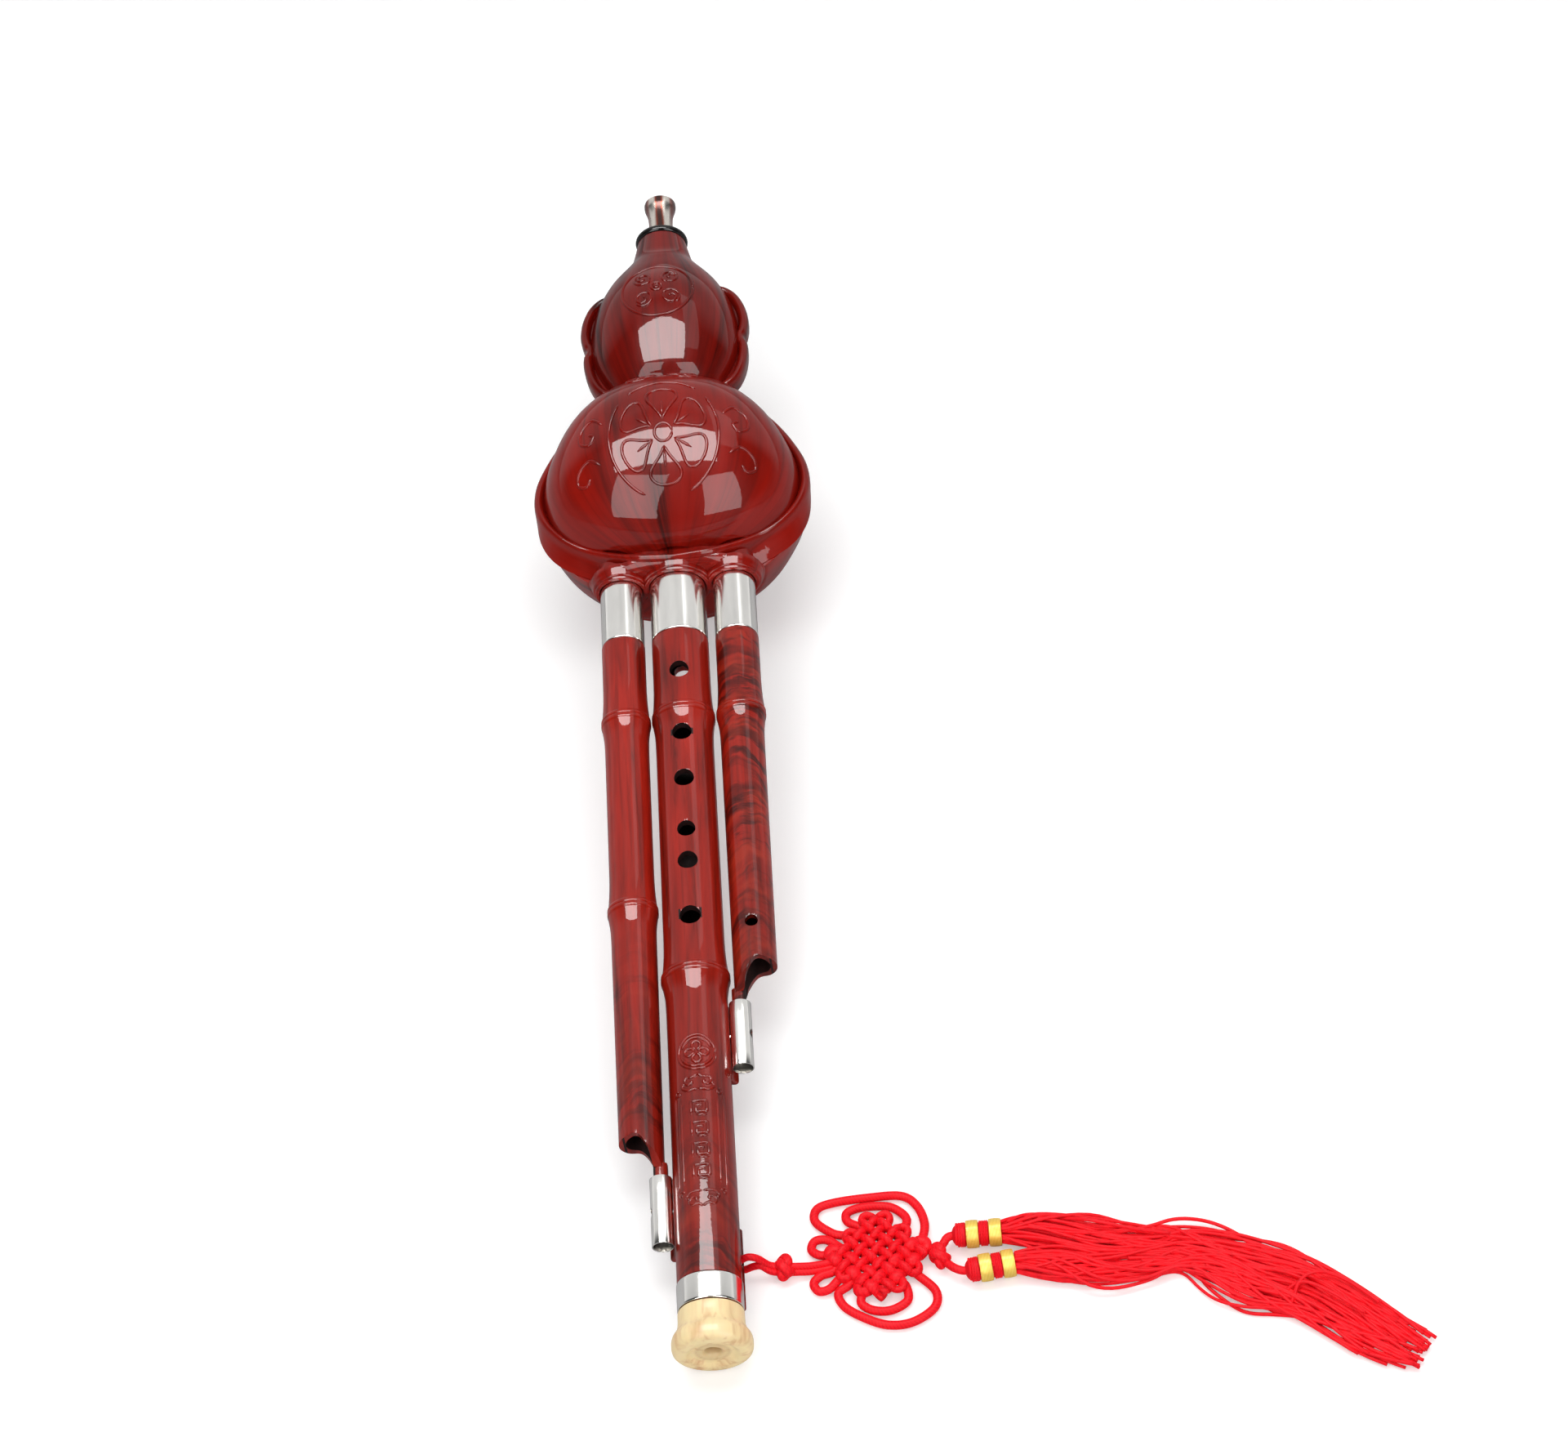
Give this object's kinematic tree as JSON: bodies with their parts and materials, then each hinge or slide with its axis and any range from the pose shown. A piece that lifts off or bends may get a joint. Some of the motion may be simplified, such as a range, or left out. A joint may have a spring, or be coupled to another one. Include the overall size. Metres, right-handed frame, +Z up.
{
  "type": "hulusi",
  "caption": "Gourd free-reed pipe: a lacquered gourd wind chest on a melody pipe between drone pipes, with mouthpiece, end plug, knotted red cord and tassels.",
  "frame": {"origin": "on the surface that the instrument lies on, below the middle of its own box, cord left out", "axes": "+Z up from that surface, +Y along the instrument to the mouthpiece, +X to the side that the cord lies on; the pipes' axis rises towards +Y by 5.4 degrees"},
  "size_m": [0.2723, 0.4988, 0.0844],
  "materials": {
    "gourd_lacquer": "glossy red-brown lacquer",
    "pipe_lacquer": "glossy red lacquer over bamboo",
    "nickel": "polished nickel",
    "black_collar": "glossy black",
    "plug_bone": "cream bone look with brown streaks",
    "reed_brass": "satin",
    "seal_rubber": "matt",
    "red_cord": "twisted and plaited bright red cord",
    "gold_thread": "gold thread winding"
  },
  "bodies": {
    "gourd": {"gourd_front_shell": "gourd_lacquer", "gourd_back_shell": "gourd_lacquer", "pipe_seat": "gourd_lacquer", "mouthpiece_collar": "black_collar", "main_socket_seal": "seal_rubber", "left_socket_seal": "seal_rubber", "right_socket_seal": "seal_rubber"},
    "mouthpiece": {"mouthpiece": "nickel"},
    "melody_pipe": {"main_pipe": "pipe_lacquer", "main_ferrule": "nickel", "main_reed_plate": "reed_brass", "left_sleeve": "nickel", "right_sleeve": "nickel", "left_sleeve_screw": "nickel", "right_sleeve_screw": "nickel", "foot_band": "nickel", "hanging_cord": "red_cord", "first_knot": "red_cord", "link_cord": "red_cord", "endless_knot": "red_cord", "upper_outer_loop": "red_cord", "upper_inner_loop": "red_cord", "lower_outer_loop": "red_cord", "lower_inner_loop": "red_cord", "upper_ear_loop": "red_cord", "lower_ear_loop": "red_cord", "second_knot": "red_cord", "upper_tassel_cord": "red_cord", "upper_tassel_head": "red_cord", "upper_tassel_top_band": "gold_thread", "upper_tassel_bottom_band": "gold_thread", "upper_tassel_skirt": "red_cord", "lower_tassel_cord": "red_cord", "lower_tassel_head": "red_cord", "lower_tassel_top_band": "gold_thread", "lower_tassel_bottom_band": "gold_thread", "lower_tassel_skirt": "red_cord"},
    "left_drone": {"left_drone_pipe": "pipe_lacquer", "left_ferrule": "nickel", "left_reed_plate": "reed_brass"},
    "right_drone": {"right_drone_pipe": "pipe_lacquer", "right_ferrule": "nickel", "right_reed_plate": "reed_brass"},
    "plug": {"end_plug": "plug_bone"}
  },
  "joints": [
    {"name": "mouthpiece_pull", "type": "slide", "parent": "gourd", "child": "mouthpiece", "axis": [0, 0.9955, 0.0944], "range_m": [0, 0.012]},
    {"name": "melody_pipe_pull", "type": "slide", "parent": "gourd", "child": "melody_pipe", "axis": [0, -0.9955, -0.0944], "range_m": [0, 0.024]},
    {"name": "left_drone_pull", "type": "slide", "parent": "gourd", "child": "left_drone", "axis": [0, -0.9955, -0.0944], "range_m": [0, 0.003]},
    {"name": "right_drone_pull", "type": "slide", "parent": "gourd", "child": "right_drone", "axis": [0, -0.9955, -0.0944], "range_m": [0, 0.003]},
    {"name": "end_plug_pull", "type": "slide", "parent": "melody_pipe", "child": "plug", "axis": [0, -0.9955, -0.0944], "range_m": [0, 0.01]}
  ]
}
